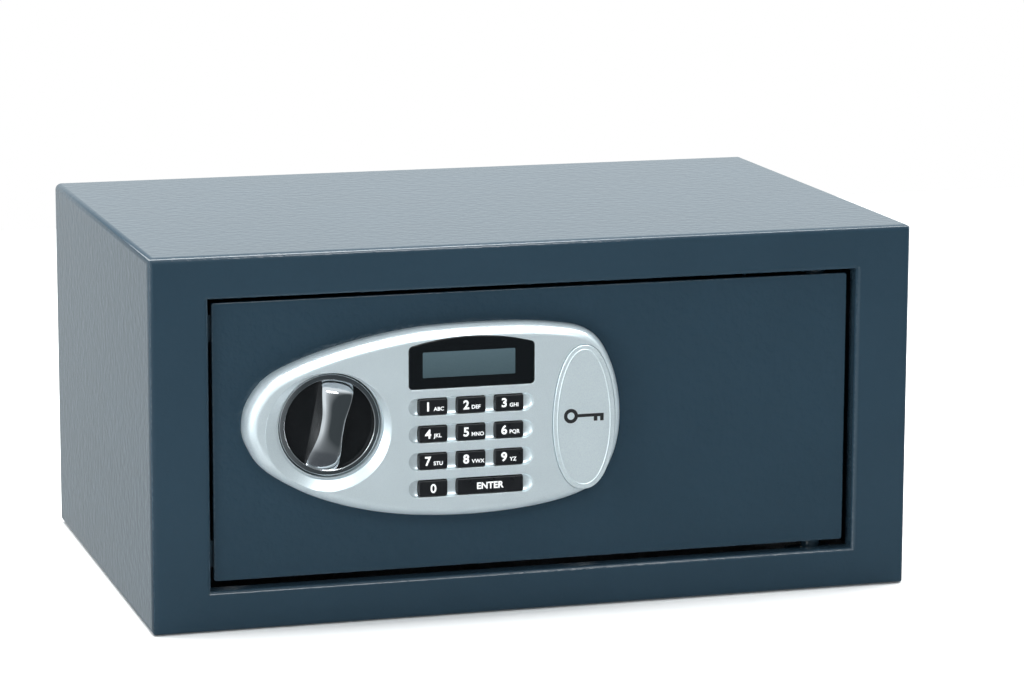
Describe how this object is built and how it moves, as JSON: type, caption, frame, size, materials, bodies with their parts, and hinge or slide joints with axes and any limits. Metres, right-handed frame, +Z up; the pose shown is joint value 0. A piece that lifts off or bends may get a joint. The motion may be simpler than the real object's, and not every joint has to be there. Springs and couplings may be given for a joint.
{
  "type": "in-room safe",
  "caption": "Steel in-room safe with a recessed hinged door, keypad panel with display, knob-thrown bolts, solenoid hold and an emergency key lock under a cap.",
  "frame": {"origin": "centre of the four base anchor holes, on the underside of the body", "axes": "+X to the right seen from the front, along the width; +Y to the rear; +Z up"},
  "size_m": [0.42, 0.279, 0.2],
  "materials": {
    "body_paint": "semi-gloss slate blue powder coat with orange peel",
    "door_paint": "semi-gloss slate blue powder coat with orange peel",
    "panel_silver": "satin silver lacquer on moulded plastic",
    "cap_silver": "satin silver lacquer on moulded plastic",
    "chrome": "polished chrome plate",
    "knob_black": "black moulded plastic",
    "key_black": "satin black key caps with white printed legends",
    "lens_black": "gloss black display window",
    "display_grey": "unlit grey liquid crystal display",
    "zinc_steel": "zinc-plated pressed steel",
    "bright_steel": "turned bright steel",
    "fastener": "zinc-plated screws and nuts",
    "brass": "machined brass",
    "nylon": "natural nylon",
    "black_plastic": "black moulded plastic with fine grain",
    "cover_plastic": "dark grey moulded plastic with spark grain",
    "red_plastic": "red moulded plastic",
    "circuit_green": "green solder mask",
    "silicone": "dark grey silicone rubber",
    "rubber": "black rubber",
    "cell_wrap": "plastic sleeve of a battery cell, with bare ends",
    "carpet": "needle-felt carpet",
    "wire_red": "red wire insulation",
    "wire_black": "black wire insulation"
  },
  "bodies": {
    "safe_body": {"body_shell": "body_paint", "back_plate": "body_paint", "hinge_seat_upper": "body_paint", "hinge_seat_lower": "body_paint", "hinge_washer": "nylon", "door_stops": "body_paint", "floor_mat": "carpet"},
    "door": {"door_plate": "door_paint", "hinge_arms": "door_paint", "hinge_pins": "door_paint", "bolt_guide": "zinc_steel", "guide_studs": "bright_steel", "cover_posts": "zinc_steel", "inner_cover": "cover_plastic", "cover_screws": "fastener", "battery_box": "black_plastic", "batteries": "cell_wrap", "battery_contacts": "zinc_steel", "keypad_housing": "panel_silver", "display_lens": "lens_black", "display_panel": "display_grey", "circuit_board": "circuit_green", "key_mat": "silicone", "board_screws": "fastener", "housing_screws": "fastener", "lock_barrel": "bright_steel", "lock_nut": "fastener", "spindle_bush": "nylon", "solenoid": "zinc_steel", "reset_switch": "black_plastic", "wire_grommet": "rubber", "battery_lead": "wire_red", "solenoid_lead": "wire_black"},
    "knob": {"knob_disc": "knob_black", "knob_grip": "chrome", "knob_spindle": "bright_steel", "spindle_clip": "bright_steel", "knob_crank": "zinc_steel"},
    "bolt_work": {"bolt_carriage": "zinc_steel", "locking_bolts": "bright_steel", "bolt_nuts": "fastener"},
    "plunger": {"solenoid_plunger": "bright_steel", "solenoid_spring": "bright_steel"},
    "key_lock": {"lock_plug": "brass", "lock_cam": "zinc_steel"},
    "cap": {"oval_cap": "cap_silver"},
    "battery_door": {"battery_lid": "cover_plastic"},
    "reset": {"reset_button": "red_plastic"},
    "button_1": {"key_1": "key_black"},
    "button_2": {"key_2": "key_black"},
    "button_3": {"key_3": "key_black"},
    "button_4": {"key_4": "key_black"},
    "button_5": {"key_5": "key_black"},
    "button_6": {"key_6": "key_black"},
    "button_7": {"key_7": "key_black"},
    "button_8": {"key_8": "key_black"},
    "button_9": {"key_9": "key_black"},
    "button_0": {"key_0": "key_black"},
    "button_enter": {"key_enter": "key_black"}
  },
  "joints": [
    {"name": "door_hinge", "type": "hinge", "parent": "safe_body", "child": "door", "pos_m": [0.1608, -0.119, 0.1], "axis": [0, 0, 1], "range_deg": [0, 100]},
    {"name": "knob_turn", "type": "hinge", "parent": "door", "child": "knob", "pos_m": [-0.115, -0.12, 0.108], "axis": [0, 1, 0], "range_deg": [0, 90]},
    {"name": "bolt_throw", "type": "slide", "parent": "door", "child": "bolt_work", "axis": [-1, 0, 0], "range_m": [0, 0.01556]},
    {"name": "plunger_slide", "type": "slide", "parent": "door", "child": "plunger", "axis": [0, 0, 1], "range_m": [0, 0.005], "deforming": ["solenoid_spring"]},
    {"name": "override_turn", "type": "hinge", "parent": "door", "child": "key_lock", "pos_m": [0.0224, -0.12, 0.1057], "axis": [0, 1, 0], "range_deg": [0, 90]},
    {"name": "cap_pull", "type": "slide", "parent": "door", "child": "cap", "axis": [0, -1, 0], "range_m": [0, 0.03]},
    {"name": "battery_lid_lift", "type": "slide", "parent": "door", "child": "battery_door", "axis": [0, 1, 0], "range_m": [0, 0.03]},
    {"name": "reset_press", "type": "slide", "parent": "door", "child": "reset", "axis": [0, -1, 0], "range_m": [0, 0.0015], "stiffness_N_per_m": 1000},
    {"name": "press_1", "type": "slide", "parent": "door", "child": "button_1", "axis": [0, 1, 0], "range_m": [0, 0.001], "stiffness_N_per_m": 1200},
    {"name": "press_2", "type": "slide", "parent": "door", "child": "button_2", "axis": [0, 1, 0], "range_m": [0, 0.001], "stiffness_N_per_m": 1200},
    {"name": "press_3", "type": "slide", "parent": "door", "child": "button_3", "axis": [0, 1, 0], "range_m": [0, 0.001], "stiffness_N_per_m": 1200},
    {"name": "press_4", "type": "slide", "parent": "door", "child": "button_4", "axis": [0, 1, 0], "range_m": [0, 0.001], "stiffness_N_per_m": 1200},
    {"name": "press_5", "type": "slide", "parent": "door", "child": "button_5", "axis": [0, 1, 0], "range_m": [0, 0.001], "stiffness_N_per_m": 1200},
    {"name": "press_6", "type": "slide", "parent": "door", "child": "button_6", "axis": [0, 1, 0], "range_m": [0, 0.001], "stiffness_N_per_m": 1200},
    {"name": "press_7", "type": "slide", "parent": "door", "child": "button_7", "axis": [0, 1, 0], "range_m": [0, 0.001], "stiffness_N_per_m": 1200},
    {"name": "press_8", "type": "slide", "parent": "door", "child": "button_8", "axis": [0, 1, 0], "range_m": [0, 0.001], "stiffness_N_per_m": 1200},
    {"name": "press_9", "type": "slide", "parent": "door", "child": "button_9", "axis": [0, 1, 0], "range_m": [0, 0.001], "stiffness_N_per_m": 1200},
    {"name": "press_0", "type": "slide", "parent": "door", "child": "button_0", "axis": [0, 1, 0], "range_m": [0, 0.001], "stiffness_N_per_m": 1200},
    {"name": "press_enter", "type": "slide", "parent": "door", "child": "button_enter", "axis": [0, 1, 0], "range_m": [0, 0.001], "stiffness_N_per_m": 1200}
  ],
  "couplings": [
    {"joint": "bolt_throw", "follows": "knob_turn", "m_per_rad": 0.009903}
  ]
}
